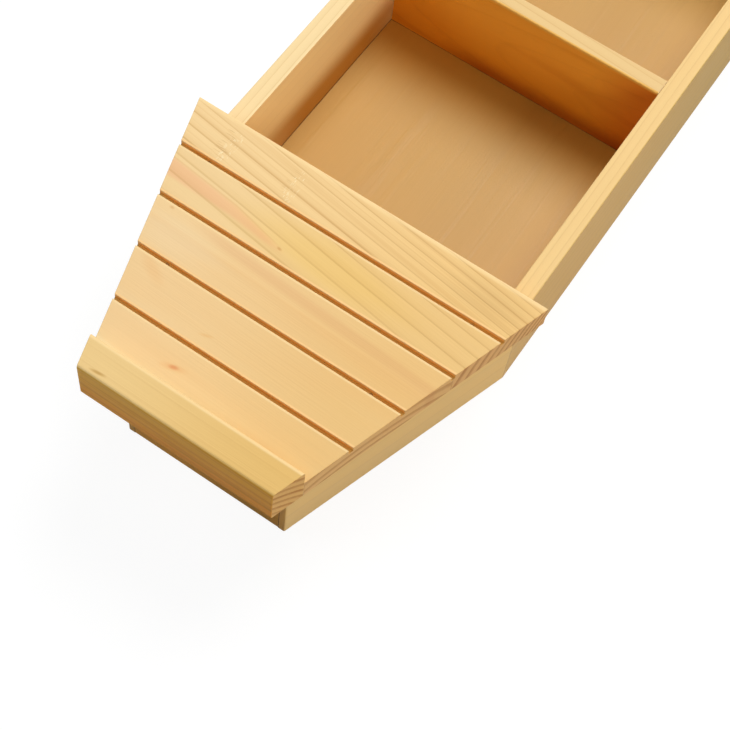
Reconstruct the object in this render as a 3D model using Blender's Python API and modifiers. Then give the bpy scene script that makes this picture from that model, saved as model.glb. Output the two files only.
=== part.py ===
"""A pine sushi boat: a flat-bottomed serving tray whose two ends taper in under overhanging decks.

Length runs along X with the bow at -X, width along Y with the boat's left at +Y, and +Z is up.
The origin is on the table under the middle of the boat.
"""

from math import atan, cos, pi, sin, tan

import bmesh
import bpy
from mathutils import Matrix, Vector

# Hull
HULL_WIDTH = 0.140  # across the outer faces of the side boards
HULL_HEIGHT = 0.056  # table to the top edges of the walls
WALL = 0.008  # side boards, cheeks, transoms and bulkheads
FLOOR = 0.009  # bottom board, flush with the walls' lower edges
DIVIDER = 0.008  # cross board between the two compartments
COMPARTMENT = 0.1175  # clear length from the divider to a bulkhead
TAPER = 0.1045  # from the bend in the walls to a transom's outer face
TRANSOM_WIDTH = 0.0735  # across the hull at a transom's outer face
CHEEK_END = 0.0028  # what shows of a cheek's end beside the transom let into it

# Decks
DECK = 0.0112  # thickness under the planked top
DECK_SETBACK = 0.0005  # a bulkhead's inner face to its deck's inner edge
SIDE_OVERHANG = 0.0085  # past the side boards at the deck's inner edge
TIP_SIDE_OVERHANG = 0.0045  # past the transom's two ends at the deck's tip
TIP_OVERHANG = 0.0176  # past the transom's outer face
LIP_WIDTH = 0.0132  # bar glued along the deck's tip
LIP_HEIGHT = 0.0086  # of the bar over the planked top
FIRST_PLANK = 0.0214  # deck's inner edge to the middle of the first groove
PLANK = 0.0224  # groove to groove
GROOVE_WIDTH = 0.00175
GROOVE_DEPTH = 0.0022

# Rounded edges
WALL_ARRIS = 0.0005
END_ARRIS = 0.00025  # along the sawn ends of the decks
GROOVE_ARRIS = 0.0003
DECK_ARRIS = 0.0007  # along the deck's inner edge and under its tip
LIP_ARRIS = 0.0012
ARC_STEPS = 4  # in a drawn outline
BEVEL_STEPS = 3  # across an eased edge

# Joints
GLUE_LINE = 0.0003  # gap left between two boards that meet
PIN_DIAMETER = 0.001
PIN_LENGTH = 0.025
PIN_POINT = 0.0015  # length of a pin's taper to its point
PIN_SIDES = 12
PIN_CLEARANCE = 0.0003  # around a pin in its hole
PIN_COVER = 0.0012  # filled depth over a pin's head in an outer face
PIN_SET = 0.0005  # depth of a pin's head under a groove's bottom
PINNED_GROOVES = (0, 2)
PIN_LEVELS = (0.3, 0.75)  # shares of the way up from the floor to the walls' top edges
FLOOR_PIN_PLACES = (-0.65, 0.0, 0.65)  # shares of the straight walls' half length
TRANSOM_PIN_PLACES = (-0.45, 0.45)  # shares of a transom's half width

TINY = 1e-6

# Sizes that follow from those above
HALF_WIDTH = HULL_WIDTH / 2
INNER_HALF_WIDTH = HALF_WIDTH - WALL
BEND_X = DIVIDER / 2 + COMPARTMENT
TRANSOM_X = BEND_X + TAPER
TAPER_SLOPE = (HULL_WIDTH - TRANSOM_WIDTH) / 2 / TAPER
TAPER_ANGLE = atan(TAPER_SLOPE)
MITRE_X = BEND_X - WALL * tan(TAPER_ANGLE / 2)
CHEEK_ACROSS = WALL / cos(TAPER_ANGLE)
GLUE_ACROSS = GLUE_LINE / cos(TAPER_ANGLE)
LET_IN_HALF_WIDTH = TRANSOM_WIDTH / 2 - CHEEK_END
SHOULDER_X = TRANSOM_X - WALL
STANDING = FLOOR + GLUE_LINE  # where the divider and the bulkheads stand
DECK_X = BEND_X + DECK_SETBACK
DECK_Z = HULL_HEIGHT + GLUE_LINE
DECK_LENGTH = TRANSOM_X + TIP_OVERHANG - DECK_X
DECK_INNER_HALF = HALF_WIDTH + SIDE_OVERHANG
DECK_TIP_HALF = TRANSOM_WIDTH / 2 + TIP_SIDE_OVERHANG
PLANKED = DECK_LENGTH - LIP_WIDTH
GROOVES = 1 + int((PLANKED - GROOVE_WIDTH - FIRST_PLANK) / PLANK)
JOINT = FIRST_PLANK + PLANK  # a deck's two boards meet under the second groove
INNER_BOARD_END = JOINT - GLUE_LINE / 2
OUTER_BOARD_START = JOINT + GLUE_LINE / 2
OUTER_BOARD_END = PLANKED - GLUE_LINE
GLUED_FACES = (INNER_BOARD_END, OUTER_BOARD_START, OUTER_BOARD_END, PLANKED)

ENDS = {"bow": -1, "stern": 1}
SIDES = {"left": 1, "right": -1}


def cheek_outer(x):
    """Half the hull's outer width at a distance x from the middle, past the bend."""
    return HALF_WIDTH - TAPER_SLOPE * (x - BEND_X)


def cheek_inner(x):
    return cheek_outer(x) - CHEEK_ACROSS


def cheek_middle(x):
    return cheek_outer(x) - CHEEK_ACROSS / 2


def deck_half_width(along):
    """Half the deck's width at a distance along it from its inner edge."""
    return DECK_INNER_HALF + (DECK_TIP_HALF - DECK_INNER_HALF) * along / DECK_LENGTH


def groove_middle(number):
    return FIRST_PLANK + number * PLANK


def clear_scene():
    for thing in list(bpy.data.objects):
        bpy.data.objects.remove(thing, do_unlink=True)


def new_collection(name):
    group = bpy.data.collections.new(name)
    bpy.context.scene.collection.children.link(group)
    return group


def finish(name, colour, roughness, metallic=0.0):
    material = bpy.data.materials.new(name)
    material.use_nodes = True
    shader = material.node_tree.nodes["Principled BSDF"]
    shader.inputs["Base Color"].default_value = (*colour, 1.0)
    shader.inputs["Roughness"].default_value = roughness
    shader.inputs["Metallic"].default_value = metallic
    material.diffuse_color = (*colour, 1.0)
    return material


def prism(outline, depth):
    """A mesh of a flat outline drawn up along Z, from z = 0 to its depth."""
    curve = bpy.data.curves.new("outline", "CURVE")
    curve.dimensions = "2D"
    curve.fill_mode = "BOTH"
    curve.extrude = depth / 2
    spline = curve.splines.new("POLY")
    spline.points.add(len(outline) - 1)
    for point, (x, y) in zip(spline.points, outline):
        point.co = (x, y, 0.0, 1.0)
    spline.use_cyclic_u = True
    drawn = bpy.data.objects.new("outline", curve)
    bpy.context.scene.collection.objects.link(drawn)
    evaluated = drawn.evaluated_get(bpy.context.evaluated_depsgraph_get())
    mesh = bpy.data.meshes.new_from_object(evaluated)
    bpy.data.objects.remove(drawn, do_unlink=True)

    shape = bmesh.new()
    shape.from_mesh(mesh)
    bmesh.ops.remove_doubles(shape, verts=shape.verts, dist=TINY)
    bmesh.ops.dissolve_limit(shape, angle_limit=TINY, verts=shape.verts, edges=shape.edges)
    bmesh.ops.translate(shape, verts=shape.verts, vec=(0.0, 0.0, depth / 2))
    bmesh.ops.recalc_face_normals(shape, faces=shape.faces)
    shape.to_mesh(mesh)
    shape.free()
    return mesh


def place(name, mesh, material, location=(0.0, 0.0, 0.0)):
    mesh.name = name
    if not mesh.materials:
        mesh.materials.append(material)
    piece = bpy.data.objects.new(name, mesh)
    piece.location = location
    piece.parent = boat
    parts.objects.link(piece)
    return piece


def ease(piece, radius, picked):
    """Rounds the edges that picked chooses by their two ends."""
    mesh = piece.data
    weights = mesh.attributes.new("bevel_weight_edge", "FLOAT", "EDGE")
    for edge in mesh.edges:
        start, end = (mesh.vertices[index].co for index in edge.vertices)
        weights.data[edge.index].value = float(picked(start, end))
    bevel = piece.modifiers.new("eased edges", "BEVEL")
    bevel.limit_method = "WEIGHT"
    bevel.width = radius
    bevel.segments = BEVEL_STEPS


def bore(piece):
    """Makes the pins' holes in a board."""
    cut = piece.modifiers.new("pin holes", "BOOLEAN")
    cut.operation = "DIFFERENCE"
    cut.object = pin_holes


def level(start, end):
    return abs(start.z - end.z) < TINY


def along_x(start, end):
    return level(start, end) and abs(start.y - end.y) < TINY


def along_y(start, end):
    return level(start, end) and abs(start.x - end.x) < TINY


def mirrored(points, x_sign=1, y_sign=1):
    return [(x * x_sign, y * y_sign) for x, y in points]


def four_quarters(points):
    """A whole outline from its quarter at +X and +Y, listed from the end towards the middle."""
    half = points + mirrored(points[::-1], x_sign=-1)
    return half + mirrored(half[::-1], y_sign=-1)


def make_floor_board():
    corner_x = MITRE_X - GLUE_LINE * tan(TAPER_ANGLE / 2)
    quarter = [
        (SHOULDER_X, cheek_inner(SHOULDER_X) - GLUE_ACROSS),
        (corner_x, INNER_HALF_WIDTH - GLUE_LINE),
    ]
    bore(place("floor_board", prism(four_quarters(quarter), FLOOR), floor_pine))


def make_side_board(side, sign):
    outer_x = BEND_X - GLUE_LINE / 2
    inner_x = MITRE_X - GLUE_LINE / 2
    outline = [
        (outer_x, HALF_WIDTH),
        (-outer_x, HALF_WIDTH),
        (-inner_x, INNER_HALF_WIDTH),
        (inner_x, INNER_HALF_WIDTH),
    ]
    board = place(f"side_board_{side}", prism(mirrored(outline, y_sign=sign), HULL_HEIGHT), wall_pine)

    def exposed(start, end):
        on_top = start.z > TINY
        on_outside = abs(start.y) > HALF_WIDTH - TINY
        return along_x(start, end) and (on_top or on_outside)

    ease(board, WALL_ARRIS, exposed)
    bore(board)


def make_cheek(end, x_sign, side, y_sign):
    outer_x = BEND_X + GLUE_LINE / 2
    inner_x = MITRE_X + GLUE_LINE / 2
    outline = [
        (outer_x, cheek_outer(outer_x)),
        (TRANSOM_X, TRANSOM_WIDTH / 2),
        (TRANSOM_X, LET_IN_HALF_WIDTH),
        (SHOULDER_X, LET_IN_HALF_WIDTH),
        (SHOULDER_X, cheek_inner(SHOULDER_X)),
        (inner_x, cheek_inner(inner_x)),
    ]
    mesh = prism(mirrored(outline, x_sign, y_sign), HULL_HEIGHT)
    cheek = place(f"cheek_{end}_{side}", mesh, wall_pine)

    def exposed(start, end):
        on_outside = all(abs(abs(point.y) - cheek_outer(abs(point.x))) < TINY for point in (start, end))
        at_tip = max(abs(start.x), abs(end.x)) > TRANSOM_X - TINY
        at_top = min(start.z, end.z) > TINY
        return on_outside and at_tip and not at_top

    ease(cheek, WALL_ARRIS, exposed)
    bore(cheek)


def make_transom(end, sign):
    half_width = LET_IN_HALF_WIDTH - GLUE_LINE
    back_x = SHOULDER_X + GLUE_LINE
    outline = [(TRANSOM_X, half_width), (back_x, half_width), (back_x, -half_width), (TRANSOM_X, -half_width)]
    transom = place(f"transom_{end}", prism(mirrored(outline, x_sign=sign), HULL_HEIGHT), wall_pine)

    def exposed(start, end):
        on_outside = abs(start.x) > TRANSOM_X - TINY
        return along_y(start, end) and on_outside and start.z < TINY

    ease(transom, WALL_ARRIS, exposed)
    bore(transom)


def make_bulkhead(end, sign):
    inner_x = BEND_X
    outer_x = BEND_X + WALL
    inner_half = cheek_inner(inner_x) - GLUE_ACROSS
    outer_half = cheek_inner(outer_x) - GLUE_ACROSS
    outline = [(inner_x, inner_half), (outer_x, outer_half), (outer_x, -outer_half), (inner_x, -inner_half)]
    mesh = prism(mirrored(outline, x_sign=sign), HULL_HEIGHT - STANDING)
    bulkhead = place(f"bulkhead_{end}", mesh, wall_pine, (0.0, 0.0, STANDING))

    def exposed(start, end):
        on_inside = abs(start.x) < inner_x + TINY
        return along_y(start, end) and on_inside and start.z > TINY

    ease(bulkhead, WALL_ARRIS, exposed)
    bore(bulkhead)


def make_divider():
    quarter = [(DIVIDER / 2, INNER_HALF_WIDTH - GLUE_LINE)]
    mesh = prism(four_quarters(quarter), HULL_HEIGHT - STANDING)
    divider = place("divider", mesh, divider_pine, (0.0, 0.0, STANDING))

    def exposed(start, end):
        return along_y(start, end) and start.z > TINY

    ease(divider, WALL_ARRIS, exposed)
    bore(divider)


def rounded(before, corner, after, radius):
    """Points of an arc in place of a square corner of an outline."""
    towards_before = (Vector(before) - Vector(corner)).normalized()
    towards_after = (Vector(after) - Vector(corner)).normalized()
    centre = Vector(corner) + radius * (towards_before + towards_after)
    angles = [pi / 2 * step / ARC_STEPS for step in range(ARC_STEPS + 1)]
    arc = [centre - radius * (towards_after * cos(turn) + towards_before * sin(turn)) for turn in angles]
    return [tuple(point) for point in arc]


def deck_board_section(start, end):
    """A grooved board's section: distance from the deck's inner edge, and height over its underside."""
    bottom = DECK - GROOVE_DEPTH
    section = [(start, 0.0), (end, 0.0)]
    if abs(end - JOINT) > GROOVE_WIDTH / 2:
        section.append((end, DECK))
    for number in reversed(range(GROOVES)):
        outer = groove_middle(number) + GROOVE_WIDTH / 2
        inner = groove_middle(number) - GROOVE_WIDTH / 2
        if outer < start or inner > end:
            continue
        if outer < end:
            section += rounded((end, DECK), (outer, DECK), (outer, bottom), GROOVE_ARRIS)
        section.append((min(outer, end), bottom))
        section.append((max(inner, start), bottom))
        if inner > start:
            section += rounded((inner, bottom), (inner, DECK), (start, DECK), GROOVE_ARRIS)
    if abs(start - JOINT) > GROOVE_WIDTH / 2:
        section += rounded((end, DECK), (start, DECK), (start, 0.0), DECK_ARRIS)
    return section


def lip_section():
    top = DECK + LIP_HEIGHT
    section = [(PLANKED, 0.0)]
    section += rounded((PLANKED, 0.0), (DECK_LENGTH, 0.0), (DECK_LENGTH, top), DECK_ARRIS)
    section += rounded((DECK_LENGTH, 0.0), (DECK_LENGTH, top), (PLANKED, top), LIP_ARRIS)
    section += rounded((DECK_LENGTH, top), (PLANKED, top), (PLANKED, 0.0), LIP_ARRIS)
    return section


def ease_sawn_ends(mesh, depth):
    """Rounds both ends of a prism of that depth, but leaves their edges square along a glued face."""
    shape = bmesh.new()
    shape.from_mesh(mesh)
    ends = [face for face in shape.faces if abs(face.normal.z) > 1 - TINY]
    for vertex in shape.verts:
        vertex.co.z += END_ARRIS if vertex.co.z < depth / 2 else -END_ARRIS
    turns = [pi / 2 * step / BEVEL_STEPS for step in range(BEVEL_STEPS + 1)]
    for before, after in zip(turns, turns[1:]):
        bmesh.ops.inset_region(
            shape,
            faces=ends,
            thickness=END_ARRIS * (cos(before) - cos(after)),
            depth=END_ARRIS * (sin(after) - sin(before)),
            use_even_offset=True,
        )
    for vertex in shape.verts:
        for face in GLUED_FACES:
            if abs(vertex.co.x - face) < END_ARRIS + TINY:
                vertex.co.x = face
    shape.to_mesh(mesh)
    shape.free()


def make_deck_piece(name, section, sign):
    """A piece of a deck, drawn across the boat and sawn to the deck's taper."""
    depth = 2 * DECK_TIP_HALF
    mesh = prism(section, depth)
    ease_sawn_ends(mesh, depth)
    for vertex in mesh.vertices:
        along, height, far_side = vertex.co
        left = far_side < depth / 2
        from_end = far_side if left else depth - far_side
        across = (deck_half_width(along) - from_end) * (1 if left else -1)
        vertex.co = (sign * along, sign * across, height)
    bore(place(name, mesh, deck_pine, (sign * DECK_X, 0.0, DECK_Z)))


def make_deck(end, sign):
    make_deck_piece(f"deck_inner_{end}", deck_board_section(0.0, INNER_BOARD_END), sign)
    make_deck_piece(f"deck_outer_{end}", deck_board_section(OUTER_BOARD_START, OUTER_BOARD_END), sign)
    make_deck_piece(f"lip_{end}", lip_section(), sign)


def pin_mesh():
    """A headless pin with its head at the origin, pointing along -Z."""
    radius = PIN_DIAMETER / 2
    profile = [(0.0, 0.0), (radius, 0.0), (radius, PIN_POINT - PIN_LENGTH), (0.0, -PIN_LENGTH)]
    mesh = bpy.data.meshes.new("pin")
    mesh.from_pydata([(x, 0.0, z) for x, z in profile], [(0, 1), (1, 2), (2, 3)], [])
    mesh.materials.append(steel)
    return mesh


def pin_places():
    """Each pin's name, its head and the way it points."""
    floor_middle = FLOOR / 2
    levels = [FLOOR + share * (HULL_HEIGHT - FLOOR) for share in PIN_LEVELS]
    groove_bottom = DECK_Z + DECK - GROOVE_DEPTH
    bulkhead_x = BEND_X + WALL / 2
    transom_x = TRANSOM_X - WALL / 2 + GLUE_LINE / 2
    half_taper_x = BEND_X + TAPER / 2
    for side, y_sign in SIDES.items():
        inward = (0.0, -y_sign, 0.0)
        head_y = y_sign * (HALF_WIDTH - PIN_COVER)
        for number, share in enumerate(FLOOR_PIN_PLACES, 1):
            yield f"pin_floor_{side}_{number}", (share * BEND_X, head_y, floor_middle), inward
        for number, z in enumerate(levels, 1):
            yield f"pin_divider_{side}_{number}", (0.0, head_y, z), inward
        for end, x_sign in ENDS.items():

            def in_cheek(x, z):
                return (x_sign * x, y_sign * (cheek_outer(x) - PIN_COVER), z)

            yield f"pin_floor_{end}_{side}", in_cheek(half_taper_x, floor_middle), inward
            for number, z in enumerate(levels, 1):
                yield f"pin_bulkhead_{end}_{side}_{number}", in_cheek(bulkhead_x, z), inward
                yield f"pin_transom_{end}_{side}_{number}", in_cheek(transom_x, z), inward
            for number, groove in enumerate(PINNED_GROOVES, 1):
                x = DECK_X + groove_middle(groove)
                head = (x_sign * x, y_sign * cheek_middle(x), groove_bottom - PIN_SET)
                yield f"pin_deck_{end}_{side}_{number}", head, (0.0, 0.0, -1.0)
    for end, x_sign in ENDS.items():
        for number, share in enumerate(TRANSOM_PIN_PLACES, 1):
            head = (x_sign * (TRANSOM_X - PIN_COVER), share * LET_IN_HALF_WIDTH, floor_middle)
            yield f"pin_transom_floor_{end}_{number}", head, (-x_sign, 0.0, 0.0)


def make_pins():
    mesh = pin_mesh()
    for name, head, way in pin_places():
        pin = bpy.data.objects.new(name, mesh)
        pin.location = head
        pin.rotation_euler = Vector((0.0, 0.0, -1.0)).rotation_difference(Vector(way)).to_euler()
        pin.parent = boat
        turned = pin.modifiers.new("turned", "SCREW")
        turned.steps = PIN_SIDES
        turned.render_steps = PIN_SIDES
        turned.use_merge_vertices = True
        turned.merge_threshold = TINY
        turned.use_smooth_shade = False
        parts.objects.link(pin)


def make_pin_holes():
    """One cutter with every pin's hole; a deck pin's hole opens into its groove."""
    shape = bmesh.new()
    open_end = PIN_SET + PIN_CLEARANCE
    radius = PIN_DIAMETER / 2 + PIN_CLEARANCE
    for _, head, way in pin_places():
        way = Vector(way)
        before = open_end if way.z < 0 else PIN_CLEARANCE
        depth = before + PIN_LENGTH + PIN_CLEARANCE
        turn = Vector((0.0, 0.0, 1.0)).rotation_difference(way).to_matrix().to_4x4()
        middle = Vector(head) + way * (depth / 2 - before)
        bmesh.ops.create_cone(
            shape,
            cap_ends=True,
            segments=PIN_SIDES,
            radius1=radius,
            radius2=radius,
            depth=depth,
            matrix=Matrix.Translation(middle) @ turn,
        )
    mesh = bpy.data.meshes.new("pin_holes")
    shape.to_mesh(mesh)
    shape.free()
    holes = bpy.data.objects.new("pin_holes", mesh)
    holes.hide_render = True
    holes.display_type = "WIRE"
    cutters.objects.link(holes)
    return holes


clear_scene()
parts = new_collection("sushi_boat")
cutters = new_collection("sushi_boat_cutters")
boat = bpy.data.objects.new("sushi_boat", None)
parts.objects.link(boat)

deck_pine = finish("deck_pine", (0.80, 0.55, 0.27), 0.55)
wall_pine = finish("wall_pine", (0.82, 0.59, 0.31), 0.58)
divider_pine = finish("divider_pine", (0.74, 0.44, 0.17), 0.58)
floor_pine = finish("floor_pine", (0.74, 0.52, 0.28), 0.5)
steel = finish("steel", (0.56, 0.55, 0.53), 0.4, 1.0)

pin_holes = make_pin_holes()
make_floor_board()
make_divider()
for side_name, side_sign in SIDES.items():
    make_side_board(side_name, side_sign)
for end_name, end_sign in ENDS.items():
    for side_name, side_sign in SIDES.items():
        make_cheek(end_name, end_sign, side_name, side_sign)
    make_transom(end_name, end_sign)
    make_bulkhead(end_name, end_sign)
    make_deck(end_name, end_sign)
make_pins()
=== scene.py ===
"""Looks for a pine sushi boat: the wood of each board, the steel of the pins, light, floor and camera.

Everything is in metres in the part's own frame: length along X with the bow at -X, the boat's left at +Y,
+Z up, and the origin on the table under the middle of the boat.
"""

from dataclasses import dataclass
from math import atan, cos, e as natural_base, pi, radians, sin, tan
from random import Random

import bmesh
import bpy
from mathutils import Matrix, Vector


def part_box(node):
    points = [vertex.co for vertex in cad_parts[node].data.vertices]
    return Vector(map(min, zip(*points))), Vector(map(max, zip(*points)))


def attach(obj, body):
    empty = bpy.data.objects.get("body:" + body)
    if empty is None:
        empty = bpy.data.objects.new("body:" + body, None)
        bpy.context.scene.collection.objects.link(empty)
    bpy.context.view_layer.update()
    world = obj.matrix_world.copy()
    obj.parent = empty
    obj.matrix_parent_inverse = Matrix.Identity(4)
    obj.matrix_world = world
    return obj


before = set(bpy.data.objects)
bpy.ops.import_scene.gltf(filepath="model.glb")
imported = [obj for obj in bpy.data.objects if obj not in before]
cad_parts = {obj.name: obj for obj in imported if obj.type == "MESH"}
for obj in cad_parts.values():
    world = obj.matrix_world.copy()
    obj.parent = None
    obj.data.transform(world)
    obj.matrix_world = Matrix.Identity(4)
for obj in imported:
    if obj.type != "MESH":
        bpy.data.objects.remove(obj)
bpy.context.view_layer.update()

LENGTHWISE = Vector((1.0, 0.0, 0.0))
CROSSWISE = Vector((0.0, 1.0, 0.0))
UP = Vector((0.0, 0.0, 1.0))

# The sign of X at each end, and of Y on each side
ENDS = {"bow": -1, "stern": 1}
SIDES = {"left": 1, "right": -1}

# Camera
CAMERA_EYE = Vector((-0.42366, -0.15114, 0.58716))
CAMERA_TARGET = Vector((-0.149009, -0.022077, 0.0))
CAMERA_ROLL = radians(9.707)
CAMERA_LENS = 81.472
CAMERA_SENSOR = 36.0

# Light
KEY_PLACE = Vector((0.60, -0.05, 1.22))
KEY_AIM = Vector((-0.05, 0.0, 0.03))
BOW_AIM = Vector((-0.16, 0.0, 0.04))
KEY_SIZE = 0.9
KEY_WATTS = 15.2
KEY_COLOUR = (1.0, 0.98, 0.94)
FILL_PLACE = Vector((-0.35, -0.85, 0.55))
FILL_SIZE = 0.5
FILL_WATTS = 3.3
FILL_COLOUR = (1.0, 0.97, 0.87)
WINDOW_PLACE = Vector((-0.35, 0.60, 0.45))
WINDOW_SIZE = 0.5
WINDOW_WATTS = 1.7
WINDOW_COLOUR = (0.62, 0.82, 1.0)
ROOM_COLOUR = (1.0, 0.97, 0.92)
ROOM_STRENGTH = 0.16
WHITE = (1.0, 1.0, 1.0)

# Floor
FLOOR_REACH = 40.0
FLOOR_GLOW = 0.90
FLOOR_SHADE = 0.14
FLOOR_BOUNCE = (0.54, 0.38, 0.15)
FAR_FLOOR = FLOOR_GLOW + FLOOR_SHADE * ROOM_STRENGTH  # how bright the floor looks where no lamp reaches

# Hull
WALL = 0.008
GLUE_GAP = 0.0003
CHEEK_END = 0.0028  # what shows of a cheek's end beside its transom
WALL_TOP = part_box("side_board_left")[1][2]
HALF_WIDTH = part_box("side_board_left")[1][1]
INNER_HALF = HALF_WIDTH - WALL
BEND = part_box("side_board_left")[1][0] + GLUE_GAP / 2
TRANSOM_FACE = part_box("transom_stern")[1][0]
TRANSOM_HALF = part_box("transom_stern")[1][1] + GLUE_GAP + CHEEK_END
DIVIDER_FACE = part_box("divider")[1][0]
BOARD_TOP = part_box("floor_board")[1][2]
SLOPE = (HALF_WIDTH - TRANSOM_HALF) / (TRANSOM_FACE - BEND)
TAPER = atan(SLOPE)
CHEEK_ACROSS = WALL / cos(TAPER)

# Decks, measured along from their inner edges
FIRST_GROOVE = 0.0214
PLANK = 0.0224
GROOVE_WIDTH = 0.00175
GROOVE_DEPTH = 0.0022
SIDE_OVERHANG = 0.0085
TIP_SIDE_OVERHANG = 0.0045
DECK_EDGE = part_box("deck_inner_stern")[0][0]
DECK_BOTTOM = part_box("deck_inner_bow")[0][2]
DECK_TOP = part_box("deck_inner_bow")[1][2]
LIP_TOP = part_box("lip_bow")[1][2]
LIP_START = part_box("lip_stern")[0][0] - DECK_EDGE
DECK_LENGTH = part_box("lip_stern")[1][0] - DECK_EDGE


class Level:
    """A number that varies over a surface: a node's output that Python arithmetic works on."""

    def __init__(self, finish, socket):
        self.finish = finish
        self.socket = socket

    def __add__(self, other):
        return self.finish.math("ADD", self, other)

    def __radd__(self, other):
        return self.finish.math("ADD", other, self)

    def __sub__(self, other):
        return self.finish.math("SUBTRACT", self, other)

    def __rsub__(self, other):
        return self.finish.math("SUBTRACT", other, self)

    def __mul__(self, other):
        return self.finish.math("MULTIPLY", self, other)

    def __rmul__(self, other):
        return self.finish.math("MULTIPLY", other, self)

    def __truediv__(self, other):
        return self.finish.math("DIVIDE", self, other)

    def __rtruediv__(self, other):
        return self.finish.math("DIVIDE", other, self)

    def __abs__(self):
        return self.finish.math("ABSOLUTE", self)


class Finish:
    """The nodes of a material, or of the room around the boat."""

    def __init__(self, owner):
        self.owner = owner
        owner.use_nodes = True
        self.tree = owner.node_tree
        self.tree.nodes.clear()

    def node(self, kind, settings=None, sockets=None, output=0):
        made = self.tree.nodes.new(kind)
        for name, value in (settings or {}).items():
            setattr(made, name, value)
        for name, value in (sockets or {}).items():
            if isinstance(value, Level):
                self.tree.links.new(value.socket, made.inputs[name])
            else:
                made.inputs[name].default_value = value
        return Level(self, made.outputs[output]) if made.outputs else None

    def math(self, operation, first, second=0.0):
        return self.node("ShaderNodeMath", {"operation": operation}, {0: first, 1: second})

    def vector(self, operation, first, second):
        return self.node("ShaderNodeVectorMath", {"operation": operation}, {0: first, 1: second})

    def dot(self, first, second):
        sockets = {0: first, 1: second}
        return self.node("ShaderNodeVectorMath", {"operation": "DOT_PRODUCT"}, sockets, "Value")

    def rise(self, value, start, end):
        """A smooth step from 0 at start to 1 at end."""
        sockets = {"Value": value, "From Min": start, "From Max": end}
        return self.node("ShaderNodeMapRange", {"interpolation_type": "SMOOTHSTEP"}, sockets)

    def fall(self, value, start, end):
        """A smooth step from 1 at start to 0 at end."""
        return 1 - self.rise(value, start, end)

    def near(self, value, middle, core, reach):
        """1 within core of the middle, falling smoothly to 0 at reach from it."""
        return self.fall(abs(value - middle), core, reach)

    def noise(self, place, waves, number):
        """Noise around 0, with so many waves to a metre along each axis, and a number of its own."""
        stretched = self.vector("MULTIPLY", place, waves)
        sockets = {"Vector": stretched, "W": number, "Scale": 1.0, "Detail": 2.0}
        return self.node("ShaderNodeTexNoise", {"noise_dimensions": "4D"}, sockets) - 0.5

    def mix(self, share, first, second, blend="MIX"):
        settings = {"data_type": "RGBA", "blend_type": blend}
        return self.node("ShaderNodeMix", settings, {0: share, 6: first, 7: second}, 2)

    def surface(self, colour, roughness, height, depth, **constants):
        normal = self.node("ShaderNodeBump", None, {"Height": height, "Strength": 1.0, "Distance": depth})
        sockets = {"Base Color": colour, "Roughness": roughness, "Normal": normal, **constants}
        shader = self.node("ShaderNodeBsdfPrincipled", None, sockets)
        self.node("ShaderNodeOutputMaterial", None, {"Surface": shader})
        return self.owner

    def in_sight(self):
        """1 where the eye looks, straight, in a reflection or through glass, and 0 for light on its way."""
        camera_ray = self.node("ShaderNodeLightPath", output="Is Camera Ray")
        path = camera_ray.socket.node
        looks = camera_ray + Level(self, path.outputs["Is Glossy Ray"])
        return self.math("MINIMUM", looks + Level(self, path.outputs["Is Transmission Ray"]), 1.0)


def new_finish(name):
    return Finish(bpy.data.materials.new(name))


def paint(colour):
    return (*colour, 1.0)


@dataclass
class Timber:
    """How a board was sawn from its log, and what colours it has."""

    fibre: Vector  # the way its grain runs
    pith: Vector  # a point on the log's middle line
    first: float  # the radius at which a ring starts
    ring: float  # width of a year's ring there
    widening: float  # growth of that width with the radius
    early: tuple = (0.868, 0.610, 0.300)  # spring wood on planed faces
    late: tuple = (0.640, 0.390, 0.140)  # summer wood on planed faces
    face_lines: float = 0.45  # strength of the summer lines on planed faces
    end_lines: float = 0.9  # and on sawn ends
    end_early: tuple = (0.85, 0.575, 0.295)
    end_late: tuple = (0.58, 0.285, 0.105)
    roughness: float = 0.56
    gloss: float = 0.3


@dataclass
class Streaks:
    """Noise drawn out along the grain: waves to a metre along and across it, and a number of its own."""

    with_grain: float
    across_grain: float
    number: float


FINE_GRAIN = Streaks(40.0, 1400.0, 1.0)
COARSE_GRAIN = Streaks(14.0, 380.0, 2.0)
CLOUDS = Streaks(7.0, 30.0, 3.0)
RING_WANDER = Streaks(5.0, 20.0, 4.0)
RING_RIPPLE = Streaks(24.0, 120.0, 5.0)
WANDER_REACH = 0.0030
RIPPLE_REACH = 0.0005

# A face counts as sawn by how squarely it cuts the grain
SAWN_TURN = (0.6, 0.9)

# Shares of a year between which its dark wood comes and goes
FACE_SUMMER = (0.35, 0.95)
FACE_SUMMER_SHARE = 0.35
FACE_LATE_SUMMER = (0.83, 0.93)
END_SUMMER = (0.40, 0.78)
WINTER = (0.955, 1.0)
FAINTEST_YEAR = 0.6

# Unevenness of the colour
LINE_UNEVENNESS = 0.9
CLOUD_SPREAD = (-0.05, 0.30)
CLOUD_SHARE = 0.6
CLOUD_TINT = (0.985, 0.955, 0.90)
COARSE_TONE = 0.04
FINE_TONE = 0.05

# Feel of the surface
SAWN_ROUGHNESS = 0.14
LINE_POLISH = 0.05
COARSE_ROUGHNESS = 0.10
FINE_HEIGHT = 0.5
SAWN_FINE_HEIGHT = 0.4
COARSE_HEIGHT = 0.5
LINE_HEIGHT = 0.35
GRAIN_DEPTH = 0.00012
SPECK_EDGE = 0.06


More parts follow.
